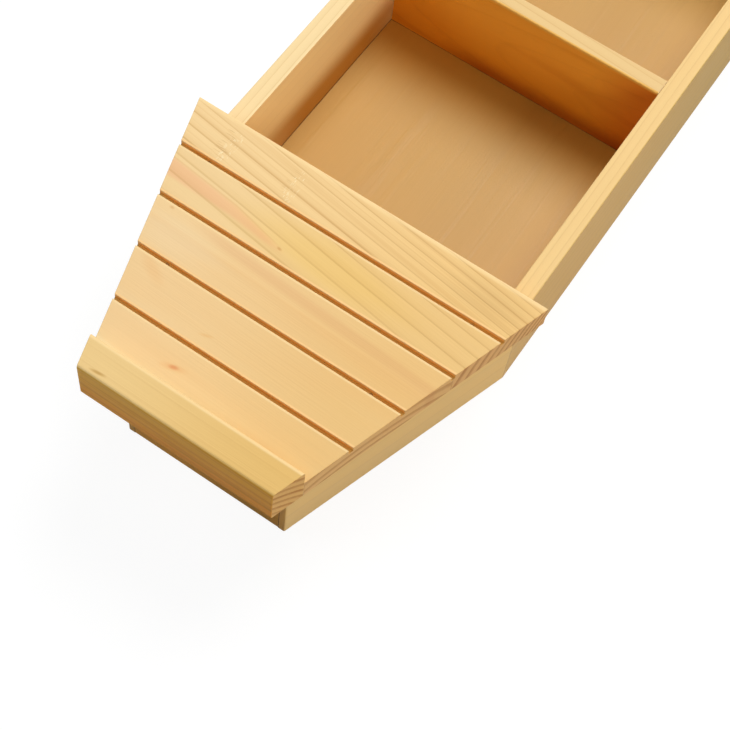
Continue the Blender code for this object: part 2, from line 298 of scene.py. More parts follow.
class Pine(Finish):
    """A finish of pine, worked out from where a surface lies in its log."""

    def __init__(self, name, timber, seed):
        super().__init__(bpy.data.materials.new(name))
        self.timber = timber
        self.seed = seed
        self.place = self.node("ShaderNodeTexCoord", output="Object")
        self.x = self.dot(self.place, LENGTHWISE)
        self.y = self.dot(self.place, CROSSWISE)
        self.z = self.dot(self.place, UP)
        self.along = abs(self.x) - DECK_EDGE
        fibre = timber.fibre.normalized()
        aside = fibre.cross(UP).normalized()
        from_pith = self.vector("SUBTRACT", self.place, timber.pith)
        with_grain = self.dot(from_pith, fibre)
        self.aside = self.dot(from_pith, aside)
        self.above = self.dot(from_pith, aside.cross(fibre))
        self.log = self.node("ShaderNodeCombineXYZ", None, {0: with_grain, 1: self.aside, 2: self.above})
        normal = self.node("ShaderNodeNewGeometry", output="Normal")
        self.endward = abs(self.dot(normal, LENGTHWISE))
        self.sawn = self.rise(abs(self.dot(normal, fibre)), *SAWN_TURN)
        self.planed = 1 - self.sawn
        self.fine = self.streaks(FINE_GRAIN)
        self.coarse = self.streaks(COARSE_GRAIN)
        self.cloud = self.streaks(CLOUDS)
        self.line = self.summer_lines()
        self.colour = self.ring_colour()
        self.tint_colour(self.rise(self.cloud, *CLOUD_SPREAD) * CLOUD_SHARE, CLOUD_TINT)
        self.brighten(1 + self.coarse * COARSE_TONE + self.fine * FINE_TONE)

    def streaks(self, kind):
        waves = (kind.with_grain, kind.across_grain, kind.across_grain)
        return self.noise(self.log, waves, self.seed + kind.number)

    def specks(self, waves, number, rarity):
        """Scattered marks, as long and as wide as their waves along X, Y and Z."""
        return self.rise(self.noise(self.place, waves, self.seed + number), rarity, rarity + SPECK_EDGE)

    def summer_lines(self):
        """The dark wood at the end of each year's ring, 0 to 1."""
        timber = self.timber
        stray = self.streaks(RING_WANDER) * WANDER_REACH + self.streaks(RING_RIPPLE) * RIPPLE_REACH
        distance = self.math("SQRT", self.aside * self.aside + self.above * self.above)
        grown = 1 + (distance + stray - timber.first) * timber.widening
        year = self.math("LOGARITHM", grown, natural_base) / (timber.widening * timber.ring)
        number = self.math("FLOOR", year)
        part = year - number
        late_share = 1 - FACE_SUMMER_SHARE
        on_face = self.rise(part, *FACE_SUMMER) * FACE_SUMMER_SHARE
        on_face = on_face + self.rise(part, *FACE_LATE_SUMMER) * late_share
        on_end = self.rise(part, *END_SUMMER)
        summer = on_face + self.sawn * (on_end - on_face)
        vigour = self.node("ShaderNodeTexWhiteNoise", {"noise_dimensions": "1D"}, {"W": number + self.seed})
        return summer * self.fall(part, *WINTER) * (FAINTEST_YEAR + vigour * (1 - FAINTEST_YEAR))

    def ring_colour(self):
        timber = self.timber
        strength = timber.face_lines + self.sawn * (timber.end_lines - timber.face_lines)
        share = self.line * strength * (1 + self.coarse * LINE_UNEVENNESS)
        early = self.mix(self.sawn, paint(timber.early), paint(timber.end_early))
        late = self.mix(self.sawn, paint(timber.late), paint(timber.end_late))
        return self.mix(share, early, late)

    # Used for real stains and for painted light and shade alike
    def tint_colour(self, share, tint):
        """Multiplies the wood's colour by a tint where the share is 1."""
        self.colour = self.mix(share, self.colour, paint(tint), "MULTIPLY")

    def cover(self, share, colour):
        """Puts another colour in place of the wood's where the share is 1."""
        self.colour = self.mix(share, self.colour, paint(colour))

    def brighten(self, level):
        """Multiplies the wood's colour by a level."""
        self.colour = self.mix(1.0, self.colour, level, "MULTIPLY")

    def finished(self):
        timber = self.timber
        roughness = timber.roughness + self.sawn * SAWN_ROUGHNESS - self.line * LINE_POLISH
        roughness = roughness + self.coarse * COARSE_ROUGHNESS
        height = self.fine * (FINE_HEIGHT + self.sawn * SAWN_FINE_HEIGHT)
        height = height + self.coarse * COARSE_HEIGHT + self.line * LINE_HEIGHT
        gloss = {"Specular IOR Level": timber.gloss}
        return self.surface(self.colour, roughness, height, GRAIN_DEPTH, **gloss)


@dataclass
class Patch:
    """A soft tint on a deck, mostly a stain and once painted light, placed from the deck's inner edge and
    from its middle.
    """

    along: float
    across: float
    half_width: float  # along the deck
    half_length: float  # across it
    lean: float  # drift along the deck with the distance across
    tint: tuple


PATCH_FADE = (0.15, 1.0)  # shares of a patch's half sizes between which it fades
PATCH_RAGGEDNESS = 0.5

# Yellowed wood on the second plank, a darker right end of the first, and a speck
BOW_INNER_PATCHES = [
    Patch(0.0325, -0.0060, 0.0150, 0.0550, 0.0, (0.995, 0.965, 0.75)),
    Patch(0.0100, -0.0600, 0.0120, 0.0260, 0.0, (0.91, 0.91, 0.91)),
    Patch(0.0375, 0.0150, 0.0008, 0.0016, -0.15, (0.82, 0.69, 0.56)),
]
# A small knot in its halo on the fifth plank, stains on the fourth, a speck on the third and painted cool
# light on the third's left end
BOW_OUTER_PATCHES = [
    Patch(0.0992, 0.0172, 0.0022, 0.0075, 0.25, (0.97, 0.87, 0.80)),
    Patch(0.0990, 0.0170, 0.0014, 0.0028, 0.25, (0.90, 0.66, 0.56)),
    Patch(0.0820, 0.0150, 0.0010, 0.0040, 0.30, (0.97, 0.90, 0.80)),
    Patch(0.0464, 0.0570, 0.0009, 0.0016, 0.0, (0.88, 0.78, 0.66)),
    Patch(0.0707, 0.0480, 0.0045, 0.0110, -0.55, (0.985, 0.93, 0.88)),
    # Painted light: a pale, cool left end of the third plank
    Patch(0.0560, 0.0480, 0.0100, 0.0260, 0.0, (1.0, 1.04, 1.13)),
]
# A dark fleck near the lip's left end
BOW_LIP_PATCHES = [Patch(0.1192, 0.0338, 0.0009, 0.0045, 0.1, (0.72, 0.62, 0.44))]
# A small knot in its halo on the second plank
STERN_INNER_PATCHES = [
    Patch(0.0320, -0.0210, 0.0024, 0.0080, 0.20, (0.97, 0.86, 0.78)),
    Patch(0.0321, -0.0210, 0.0013, 0.0030, 0.20, (0.88, 0.64, 0.54)),
]
# A stain on the fourth plank and a speck on the third
STERN_OUTER_PATCHES = [
    Patch(0.0780, 0.0240, 0.0040, 0.0120, 0.40, (0.985, 0.92, 0.87)),
    Patch(0.0560, -0.0330, 0.0009, 0.0020, 0.0, (0.86, 0.74, 0.62)),
]


def mark_patches(wood, patches):
    for patch in patches:
        across = wood.y - patch.across
        off_across = across / patch.half_length
        off_along = (wood.along - patch.along - across * patch.lean) / patch.half_width
        distance = wood.math("SQRT", off_across * off_across + off_along * off_along)
        ragged = distance + wood.coarse * PATCH_RAGGEDNESS + wood.cloud * PATCH_RAGGEDNESS
        wood.tint_colour(wood.fall(ragged, *PATCH_FADE), patch.tint)


def deck_half(along):
    """Half of a deck's width."""
    inner = HALF_WIDTH + SIDE_OVERHANG
    tip = TRANSOM_HALF + TIP_SIDE_OVERHANG
    return inner + (tip - inner) * along / DECK_LENGTH


# Painted shade towards the boat's right on the decks and lips, and painted light on their left
PAINTED_SIDE_LIGHT_SPREAD = (-0.95, 0.95)  # shares of a deck's half width
PAINTED_RIGHT_SHADE_TINT = (0.925, 0.855, 0.66)


def mark_painted_side_light(wood):
    """Painted light and shade across a deck: the wood is darker and yellower towards the boat's right, paler
    on the left where more light falls.
    """
    inner_half = deck_half(0.0)
    half = inner_half - wood.along * ((inner_half - deck_half(DECK_LENGTH)) / DECK_LENGTH)
    wood.tint_colour(wood.fall(wood.y / half, *PAINTED_SIDE_LIGHT_SPREAD) * wood.planed, PAINTED_RIGHT_SHADE_TINT)


# A pale colour painted along arrises as a highlight where the edges catch the light
ARRIS_HIGHLIGHT = (0.96, 0.70, 0.35)
GROOVE_FADE = 0.0003  # past a groove's sides
GROOVE_RIM = (0.0001, 0.0008)  # depths between which the browning sets in
# Inside the grooves: burn from the cutter together with painted shade and bounce light, and painted shade at
# their bottoms
GROOVE_BURN_AND_SHADE = (0.97, 0.525, 0.135)
GROOVE_BURN_AND_SHADE_SHARE = 0.9
GROOVE_BOTTOM_SHADE_DEPTH = (0.0009, GROOVE_DEPTH - 0.0001)
GROOVE_BOTTOM_SHADE = (0.72, 0.70, 0.55)
GROOVE_EDGE = GROOVE_WIDTH / 2 + 0.0004  # from a groove's middle to its edges, where highlights are painted
GROOVE_EDGE_SPREAD = (0.0002, 0.0008)
# Painted highlights along the grooves' two top edges
GROOVE_INNER_HIGHLIGHT = (0.97, 0.60, 0.255)
GROOVE_INNER_HIGHLIGHT_SHARE = 0.85
GROOVE_OUTER_HIGHLIGHT_SHARE = 0.7


def mark_grooves(wood):
    """Browns the insides of a deck's grooves, partly as burn where the cutter rubbed and partly as painted
    shade and bounce light, darkens their bottoms with painted shade, and paints highlights along their two
    edges.
    """
    off_middle = (wood.math("FRACT", (wood.along - FIRST_GROOVE) / PLANK + 0.5) - 0.5) * PLANK
    half = GROOVE_WIDTH / 2
    depth = DECK_TOP - wood.z
    inside = wood.fall(abs(off_middle), half, half + GROOVE_FADE) * wood.planed
    sunk = wood.rise(depth, *GROOVE_RIM)
    wood.cover(inside * sunk * GROOVE_BURN_AND_SHADE_SHARE, GROOVE_BURN_AND_SHADE)
    wood.tint_colour(inside * wood.rise(depth, *GROOVE_BOTTOM_SHADE_DEPTH), GROOVE_BOTTOM_SHADE)
    on_top = (1 - sunk) * wood.planed
    inner_highlight = wood.near(off_middle, -GROOVE_EDGE, *GROOVE_EDGE_SPREAD)
    wood.cover(inner_highlight * on_top * GROOVE_INNER_HIGHLIGHT_SHARE, GROOVE_INNER_HIGHLIGHT)
    outer_highlight = wood.near(off_middle, GROOVE_EDGE, *GROOVE_EDGE_SPREAD)
    wood.cover(outer_highlight * on_top * GROOVE_OUTER_HIGHLIGHT_SHARE, ARRIS_HIGHLIGHT)


@dataclass
class Scuff:
    """A short row of ticks and scratches on a first plank."""

    across: float
    reach: float
    darkness: float


BOW_SCUFFS = [Scuff(0.0575, 0.0042, 0.5), Scuff(0.0282, 0.0026, 0.25)]
SCUFF_ROW = (0.0120, 0.0062, 0.0080)  # middle, core and reach along the deck
SCUFF_CORE = 0.4  # share of a scuff's reach
TICK_WAVES = (1900.0, 170.0, 170.0)
TICK_NUMBER = 8.0
TICK_RARITY = 0.06
TICK_TINT = (0.70, 0.60, 0.46)
SCRATCH_WAVES = (480.0, 2400.0, 480.0)
SCRATCH_NUMBER = 9.0
SCRATCH_RARITY = 0.08
SCRATCH_OFFSET = 0.0022  # to the right of the ticks
SCRATCH_SPREAD = (0.0012, 0.0032)
SCRATCH_COLOUR = (0.97, 0.80, 0.50)
SCRATCH_SHARE = 0.8


def mark_scuff(wood, scuff):
    """Thin dark ticks and pale scratches over the rings."""
    row = wood.near(wood.along, *SCUFF_ROW)
    ticks = wood.specks(TICK_WAVES, TICK_NUMBER, TICK_RARITY)
    here = wood.near(wood.y, scuff.across, scuff.reach * SCUFF_CORE, scuff.reach)
    wood.tint_colour(row * here * ticks * scuff.darkness, TICK_TINT)
    scratches = wood.specks(SCRATCH_WAVES, SCRATCH_NUMBER, SCRATCH_RARITY)
    beside = wood.near(wood.y, scuff.across - SCRATCH_OFFSET, *SCRATCH_SPREAD)
    wood.cover(row * beside * scratches * SCRATCH_SHARE, SCRATCH_COLOUR)


WEDGE_TURN = 0.038  # where its two sides change their lean
WEDGE_UPPER_PLACE = 0.0317
WEDGE_UPPER_LEANS = (0.115, 0.225)  # outside the turn and inside it
WEDGE_UPPER_EDGE = (-0.0006, 0.0012)
WEDGE_LOWER_PLACE = 0.0368
WEDGE_LOWER_LEANS = (0.02, 0.12)
WEDGE_LOWER_EDGE = (-0.0016, 0.0008)
WEDGE_END = (0.010, 0.024)
WEDGE_STRENGTH = 0.75
WEDGE_CLOUD = 0.9
WEDGE_COARSE = 0.6
WEDGE_TINT = (0.985, 0.805, 0.825)
WEDGE_LINE = (0.0, 0.0001, 0.0006)  # middle, core and reach from its upper side
WEDGE_LINE_TINT = (0.95, 0.90, 0.86)


def mark_wedge(wood):
    """A pink wedge of heartwood on the second plank that thins out towards the middle."""
    inward = WEDGE_TURN - wood.y

    def past_side(place, leans):
        outside, inside = leans
        return wood.along - place - wood.math("MAXIMUM", inward * outside, inward * inside)

    upper = past_side(WEDGE_UPPER_PLACE, WEDGE_UPPER_LEANS)
    lower = past_side(WEDGE_LOWER_PLACE, WEDGE_LOWER_LEANS)
    shown = wood.rise(wood.y, *WEDGE_END) * wood.planed
    wedge = wood.rise(upper, *WEDGE_UPPER_EDGE) * wood.fall(lower, *WEDGE_LOWER_EDGE)
    strength = WEDGE_STRENGTH + wood.cloud * WEDGE_CLOUD + wood.coarse * WEDGE_COARSE
    wood.tint_colour(wedge * strength * shown, WEDGE_TINT)
    wood.tint_colour(wood.near(upper, *WEDGE_LINE) * shown, WEDGE_LINE_TINT)


FIRST_PLANK_END = (FIRST_GROOVE - 0.003, FIRST_GROOVE)
FIRST_PLANK_RINGS = (0.90, 0.84, 0.76)
FIRST_PLANK_RING_SHARE = 0.9
FIRST_PLANK_STREAKS = Streaks(5.0, 620.0, 6.0)
FIRST_PLANK_STREAK_SPREAD = (0.0, 0.16)
FIRST_PLANK_STREAK_TINT = (0.945, 0.91, 0.86)
FIRST_PLANK_GAIN = 0.03


def mark_first_plank(wood):
    """The rings lie closest on the first plank, with fine dark lines between them."""
    first_plank = wood.fall(wood.along, *FIRST_PLANK_END) * wood.planed
    wood.tint_colour(wood.line * first_plank * FIRST_PLANK_RING_SHARE, FIRST_PLANK_RINGS)
    fine_lines = wood.rise(wood.streaks(FIRST_PLANK_STREAKS), *FIRST_PLANK_STREAK_SPREAD)
    wood.tint_colour(fine_lines * first_plank, FIRST_PLANK_STREAK_TINT)
    wood.brighten(1 + first_plank * FIRST_PLANK_GAIN)


# A painted highlight along each deck's inner edge, over the compartment
INNER_RIM_HIGHLIGHT = (0.0012, 0.0025)
INNER_RIM_HIGHLIGHT_SHARE = 0.6


def mark_inner_rim_highlight(wood):
    wood.cover(wood.fall(wood.along, *INNER_RIM_HIGHLIGHT) * wood.planed * INNER_RIM_HIGHLIGHT_SHARE, ARRIS_HIGHLIGHT)


def mark_bow_inner(wood):
    mark_painted_side_light(wood)
    mark_first_plank(wood)
    mark_wedge(wood)
    for scuff in BOW_SCUFFS:
        mark_scuff(wood, scuff)
    mark_patches(wood, BOW_INNER_PATCHES)
    mark_inner_rim_highlight(wood)
    mark_grooves(wood)


def mark_stern_inner(wood):
    mark_painted_side_light(wood)
    mark_first_plank(wood)
    mark_patches(wood, STERN_INNER_PATCHES)
    mark_inner_rim_highlight(wood)
    mark_grooves(wood)


# Painted light: a pale, cool band on the decks next to the lip, strongest on the left
PAINTED_LIGHT_BY_LIP = (LIP_START - 0.0105, LIP_START - 0.001)
PAINTED_LIGHT_BY_LIP_LEFT = (-0.03, 0.0)
PAINTED_LIGHT_BY_LIP_LEAST = 0.4
PAINTED_LIGHT_BY_LIP_TINT = (1.03, 1.16, 1.27)


def mark_painted_light_by_lip(wood):
    """Painted light on the planed wood next to the lip: paler and cooler there, and most so on the left."""
    lit_by_lip = wood.rise(wood.along, *PAINTED_LIGHT_BY_LIP) * wood.planed
    strength = PAINTED_LIGHT_BY_LIP_LEAST + wood.rise(wood.y, *PAINTED_LIGHT_BY_LIP_LEFT) * (1 - PAINTED_LIGHT_BY_LIP_LEAST)
    wood.tint_colour(lit_by_lip * strength, PAINTED_LIGHT_BY_LIP_TINT)


BAND_LEAN = 0.06
BAND = (0.0501, 0.0006, 0.0034)  # middle, core and reach along the deck
BAND_END = (0.028, 0.052)
BAND_STRENGTH = 0.95
BAND_COARSE = 0.8
BAND_TINT = (0.942, 0.885, 0.88)
BLOTCHES = Streaks(10.0, 55.0, 7.0)
BLOTCH_SPREAD = (-0.05, 0.22)
BLOTCH_SHARE = 0.7
BLOTCH_TINT = (0.99, 0.945, 0.90)


def mark_bow_outer(wood):
    """A pink band along the third plank, soft blotches, and the patches."""
    mark_painted_side_light(wood)
    band = wood.near(wood.along + wood.y * BAND_LEAN, *BAND) * wood.fall(wood.y, *BAND_END)
    wood.tint_colour(band * (BAND_STRENGTH + wood.coarse * BAND_COARSE), BAND_TINT)
    wood.tint_colour(wood.rise(wood.streaks(BLOTCHES), *BLOTCH_SPREAD) * BLOTCH_SHARE, BLOTCH_TINT)
    mark_patches(wood, BOW_OUTER_PATCHES)
    mark_painted_light_by_lip(wood)
    mark_grooves(wood)


def mark_stern_outer(wood):
    mark_painted_side_light(wood)
    mark_patches(wood, STERN_OUTER_PATCHES)
    mark_painted_light_by_lip(wood)
    mark_grooves(wood)


FRONT_TURN = (0.55, 0.95)  # how squarely a face looks along the boat
FRONT_HALF = (LIP_START + 0.004, LIP_START + 0.006)
# Painted shade and warm bounce light on the lip's front, darker towards its foot
FRONT_SHADE_TINT = (1.10, 0.965, 0.45)
FRONT_LOW_SHADE_TINT = (0.985, 0.82, 0.70)
FRONT_STREAKS = Streaks(9.0, 620.0, 6.0)
FRONT_STREAK_SPREAD = (-0.06, 0.14)
FRONT_STREAK_TINT = (0.855, 0.77, 0.62)
RED_STREAK = (DECK_BOTTOM + 0.0045, 0.0004, 0.0022)  # middle, core and reach in height
RED_STREAK_WANDER = 0.004
RED_STREAK_TINT = (1.0, 0.94, 0.93)
DARK_STREAK = (DECK_BOTTOM + 0.0061, 0.0003, 0.0014)
DARK_STREAK_WANDER = 0.003
DARK_STREAK_END = (-0.006, 0.016)
DARK_STREAK_TINT = (0.77, 0.75, 0.62)
# A painted highlight along the lip's top edge over the planks
LIP_HIGHLIGHT_ALONG = (LIP_START + 0.0010, LIP_START + 0.0019)
LIP_HIGHLIGHT_HEIGHT = (LIP_TOP - 0.0014, LIP_TOP - 0.0006)
LIP_HIGHLIGHT_SHARE = 0.85


def mark_lip(wood):
    """A front in painted shade and warm bounce light, darker towards its foot, with darker streaks along its
    grain, and a painted highlight along the edge over the planks.
    """
    mark_painted_side_light(wood)
    front = wood.rise(wood.endward, *FRONT_TURN) * wood.rise(wood.along, *FRONT_HALF)
    wood.tint_colour(front, FRONT_SHADE_TINT)
    wood.tint_colour(front * wood.rise(wood.streaks(FRONT_STREAKS), *FRONT_STREAK_SPREAD), FRONT_STREAK_TINT)
    wood.tint_colour(front * wood.fall(wood.z, DECK_BOTTOM, LIP_TOP), FRONT_LOW_SHADE_TINT)
    red_streak = wood.near(wood.z + wood.cloud * RED_STREAK_WANDER, *RED_STREAK)
    wood.tint_colour(front * red_streak, RED_STREAK_TINT)
    dark_streak = wood.near(wood.z + wood.cloud * DARK_STREAK_WANDER, *DARK_STREAK)
    wood.tint_colour(front * dark_streak * wood.fall(wood.y, *DARK_STREAK_END), DARK_STREAK_TINT)
    painted_edge = wood.fall(wood.along, *LIP_HIGHLIGHT_ALONG) * wood.rise(wood.z, *LIP_HIGHLIGHT_HEIGHT)
    wood.cover(painted_edge * wood.planed * LIP_HIGHLIGHT_SHARE, ARRIS_HIGHLIGHT)


def mark_bow_lip(wood):
    mark_patches(wood, BOW_LIP_PATCHES)
    mark_lip(wood)


# The faces of the straight walls, told by where the wood lies
OUTSIDE = (HALF_WIDTH - 0.0006, HALF_WIDTH - 0.0001)
INSIDE = (INNER_HALF + 0.0002, INNER_HALF + 0.0008)
TOP = (WALL_TOP - 0.0007, WALL_TOP - 0.0002)
# Painted light and warm bounce on the left wall's inside face, and painted shade on its outside
LEFT_INSIDE_LIGHT_COLOUR = (0.91, 0.68, 0.355)
LEFT_INSIDE_LIGHT_SHARE = 0.55
LEFT_OUTSIDE_SHADE_TINT = (0.95, 0.91, 0.84)
# A painted sheen on the left wall's top
LEFT_TOP_SHEEN_COLOUR = (0.95, 0.74, 0.43)
LEFT_TOP_SHEEN_SHARE = 0.6
LEFT_TOP_SHEEN_LINES = 0.3
# Painted shade low on the left wall's inside, strongest around the middle of the bow compartment, and
# painted light high on it
LOW_SHADE = (0.018, 0.035)
LOW_SHADE_WANDER = 0.006
LOW_SHADE_TINT = (0.50, 0.27, 0.06)
LOW_SHADE_MIDDLE = (-0.048, 0.020, 0.066)  # middle, core and reach along the boat
LOW_SHADE_LEAST = 0.55
UPPER_LIGHT_BAND = (0.030, 0.054)
UPPER_LIGHT_GAIN = 0.14


def mark_left_wall(wood):
    """A board with a painted sheen on top, painted light and warm bounce on its inside face, brightest high
    up, painted shade low on the inside, strongest around the middle of the bow compartment, and painted
    shade on its outside.
    """
    inside = wood.fall(abs(wood.y), *INSIDE)
    wood.cover(inside * LEFT_INSIDE_LIGHT_SHARE, LEFT_INSIDE_LIGHT_COLOUR)
    low = wood.fall(wood.z + wood.cloud * LOW_SHADE_WANDER, *LOW_SHADE)
    strength = LOW_SHADE_LEAST + wood.near(wood.x, *LOW_SHADE_MIDDLE) * (1 - LOW_SHADE_LEAST)
    wood.tint_colour(inside * low * strength, LOW_SHADE_TINT)
    wood.brighten(1 + inside * wood.rise(wood.z, *UPPER_LIGHT_BAND) * UPPER_LIGHT_GAIN)
    wood.tint_colour(wood.rise(abs(wood.y), *OUTSIDE), LEFT_OUTSIDE_SHADE_TINT)
    top = wood.rise(wood.z, *TOP)
    wood.cover(top * (LEFT_TOP_SHEEN_SHARE - wood.line * LEFT_TOP_SHEEN_LINES), LEFT_TOP_SHEEN_COLOUR)


# Painted shade on the right wall's outside, deepening towards the stern
RIGHT_OUTSIDE_SHADE_TINT = (0.82, 0.78, 0.585)
RIGHT_STERNWARD_SHADE = (-0.10, 0.08)
RIGHT_STERNWARD_SHADE_TINT = (0.83, 0.87, 0.74)


def mark_right_wall(wood):
    """A board whose outside is browner as painted shade, and more so towards the stern."""
    outside = wood.rise(abs(wood.y), *OUTSIDE)
    wood.tint_colour(outside, RIGHT_OUTSIDE_SHADE_TINT)
    wood.tint_colour(outside * wood.rise(wood.x, *RIGHT_STERNWARD_SHADE), RIGHT_STERNWARD_SHADE_TINT)


DIVIDER_MIDDLE = (-0.001, 0.001)
STERN_FACE_COLOUR = (0.80, 0.53, 0.20)
STERN_FACE_SHARE = 0.85
# Painted shade: the divider is darker towards its foot, and towards its right end where the right wall's
# shadow falls
DIVIDER_LOW_SHADE_TINT = (0.80, 0.68, 0.36)
DIVIDER_RIGHT_SHADOW = (-0.060, -0.032)
DIVIDER_RIGHT_SHADOW_TINT = (0.80, 0.56, 0.45)
# Painted shade at the foot of the bow face
DIVIDER_FOOT_SHADE = (BOARD_TOP + 0.001, BOARD_TOP + 0.0125)
DIVIDER_FOOT_SHADE_END = (0.012, 0.042)
DIVIDER_FOOT_SHADE_TINT = (0.60, 0.43, 0.45)
DIVIDER_STREAKS = Streaks(9.0, 110.0, 6.0)
DIVIDER_STREAK_SPREAD = (-0.04, 0.20)
DIVIDER_STREAK_SHARE = 0.5
DIVIDER_STREAK_TINT = (0.84, 0.72, 0.55)
DIVIDER_TOP_EARLY = (0.805, 0.56, 0.26)
DIVIDER_TOP_LATE = (0.66, 0.40, 0.15)
DIVIDER_TOP_LINES = 0.6
BOW_EDGE_ALONG = (0.0004 - DIVIDER_FACE, 0.0011 - DIVIDER_FACE)
BOW_EDGE_HEIGHT = (WALL_TOP - 0.002, WALL_TOP - 0.0006)
# Painted shade and bounce light carried over the bow face's top edge
BOW_EDGE_SHADE_COLOUR = (0.88, 0.46, 0.085)
BOW_EDGE_SHADE_SHARE = 0.85


def mark_divider(wood):
    """A pale top edge and a plain stern face; painted shade darkens the board towards its foot and towards
    its right end, where the right wall's shadow falls, and the bow face's deep orange, its darker foot and
    its orange top edge are painted shade and bounce light.
    """
    stern_face = wood.rise(wood.x, *DIVIDER_MIDDLE)
    wood.cover(stern_face * STERN_FACE_SHARE, STERN_FACE_COLOUR)
    wood.tint_colour(wood.fall(wood.z, BOARD_TOP, WALL_TOP), DIVIDER_LOW_SHADE_TINT)
    wood.tint_colour(wood.fall(wood.y, *DIVIDER_RIGHT_SHADOW), DIVIDER_RIGHT_SHADOW_TINT)
    foot = wood.fall(wood.z, *DIVIDER_FOOT_SHADE) * wood.fall(wood.y, *DIVIDER_FOOT_SHADE_END)
    wood.tint_colour((1 - stern_face) * foot, DIVIDER_FOOT_SHADE_TINT)
    streaks = wood.rise(wood.streaks(DIVIDER_STREAKS), *DIVIDER_STREAK_SPREAD)
    wood.tint_colour(streaks * DIVIDER_STREAK_SHARE, DIVIDER_STREAK_TINT)
    top = wood.mix(wood.line * DIVIDER_TOP_LINES, paint(DIVIDER_TOP_EARLY), paint(DIVIDER_TOP_LATE))
    wood.colour = wood.mix(wood.rise(wood.z, *TOP), wood.colour, top)
    painted_edge = wood.fall(wood.x, *BOW_EDGE_ALONG) * wood.rise(wood.z, *BOW_EDGE_HEIGHT)
    wood.cover(painted_edge * BOW_EDGE_SHADE_SHARE, BOW_EDGE_SHADE_COLOUR)


TRANSOM_RIGHT = (-0.025, 0.025)
TRANSOM_RIGHT_TINT = (0.72, 0.75, 0.75)


def mark_transom(wood):
    """An end board that is browner towards the boat's right."""
    wood.tint_colour(wood.fall(wood.y, *TRANSOM_RIGHT), TRANSOM_RIGHT_TINT)


# Painted shadow of the divider on the bottom board
DIVIDER_SHADOW_REACH = (DIVIDER_FACE, DIVIDER_FACE + 0.035)
DIVIDER_SHADOW_TINT = (0.98, 0.76, 0.36)


def mark_bottom_board(wood):
    """The bottom board gets a painted shadow beside the divider."""
    wood.tint_colour(wood.fall(abs(wood.x), *DIVIDER_SHADOW_REACH), DIVIDER_SHADOW_TINT)


# What sets each board's noise apart from the others'
SEEDS = {
    "deck_inner_bow": 10.0,
    "deck_outer_bow": 11.0,
    "lip_bow": 12.0,
    "side_board_left": 20.0,
    "side_board_right": 21.0,
    "cheek_bow_left": 24.0,
    "cheek_bow_right": 25.0,
    "cheek_stern_left": 26.0,
    "cheek_stern_right": 27.0,
    "transom_bow": 32.0,
    "bulkhead_bow": 33.0,
    "transom_stern": 34.0,
    "bulkhead_stern": 35.0,
    "divider": 36.0,
    "floor_board": 37.0,
    "deck_inner_stern": 40.0,
    "deck_outer_stern": 41.0,
    "lip_stern": 42.0,
}


def clad(board, material):
    board.data.materials.clear()
    board.data.materials.append(material)


def dress(node, timber, mark=None):
    """Gives a board its own pine."""
    wood = Pine(f"{node}_pine", timber, SEEDS[node])
    if mark:
        mark(wood)
    clad(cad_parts[node], wood.finished())


def deck_place(sign, along, height):
    """A point over the middle of a deck, from its distance from the deck's inner edge."""
    return Vector((sign * (DECK_EDGE + along), 0.0, height))


def dress_deck(end, sign):
    """The two boards of a deck and its lip."""
    inner = Timber(
        fibre=Vector((-0.145 * sign, 1.0, 0.0)),
        pith=deck_place(sign, along=-0.126, height=DECK_TOP - 0.067),
        first=0.1410,
        ring=0.00334,
        widening=28.4,
        face_lines=0.60,
        end_early=(0.81, 0.515, 0.245),
        end_late=(0.52, 0.24, 0.08),
    )
    outer = Timber(
        fibre=Vector((-0.04 * sign, 1.0, 0.0)),
        pith=deck_place(sign, along=0.080, height=DECK_TOP - 0.098),
        first=0.0895,
        ring=0.00440,
        widening=66.2,
        early=(0.868, 0.602, 0.302),
        late=(0.770, 0.430, 0.165),
        face_lines=0.28,
        end_early=(0.84, 0.56, 0.27),
        end_late=(0.55, 0.27, 0.09),
    )
    lip = Timber(
        fibre=Vector((0.01, 1.0, 0.0)),
        pith=deck_place(sign, along=0.174, height=DECK_TOP - 0.071),
        first=0.080,
        ring=0.0034,
        widening=3.0,
        early=(0.865, 0.60, 0.262),
        face_lines=0.12,
        end_early=(0.83, 0.55, 0.245),
        end_late=(0.54, 0.255, 0.08),
        gloss=0.15,
    )
    at_bow = end == "bow"
    dress(f"deck_inner_{end}", inner, mark_bow_inner if at_bow else mark_stern_inner)
    dress(f"deck_outer_{end}", outer, mark_bow_outer if at_bow else mark_stern_outer)
    dress(f"lip_{end}", lip, mark_bow_lip if at_bow else mark_lip)


HULL_WOOD = {
    "fibre": Vector((1.0, 0.004, 0.002)),
    "first": 0.060,
    "ring": 0.0025,
    "widening": 3.0,
    "early": (0.85, 0.585, 0.245),
    "end_lines": 0.5,
}
CROSS_GRAIN = Vector((0.01, 1.0, 0.01))


def hull_timber(**own):
    """The wood of the hull's boards, apart from what one has of its own."""
    return Timber(**{**HULL_WOOD, **own})


def dress_walls():
    log_out = HALF_WIDTH + 0.080
    log_height = WALL_TOP - 0.055
    left = hull_timber(pith=Vector((0.0, log_out, log_height)))
    right = hull_timber(pith=Vector((0.0, -log_out, log_height)), early=(0.83, 0.565, 0.235))
    dress("side_board_left", left, mark_left_wall)
    dress("side_board_right", right, mark_right_wall)


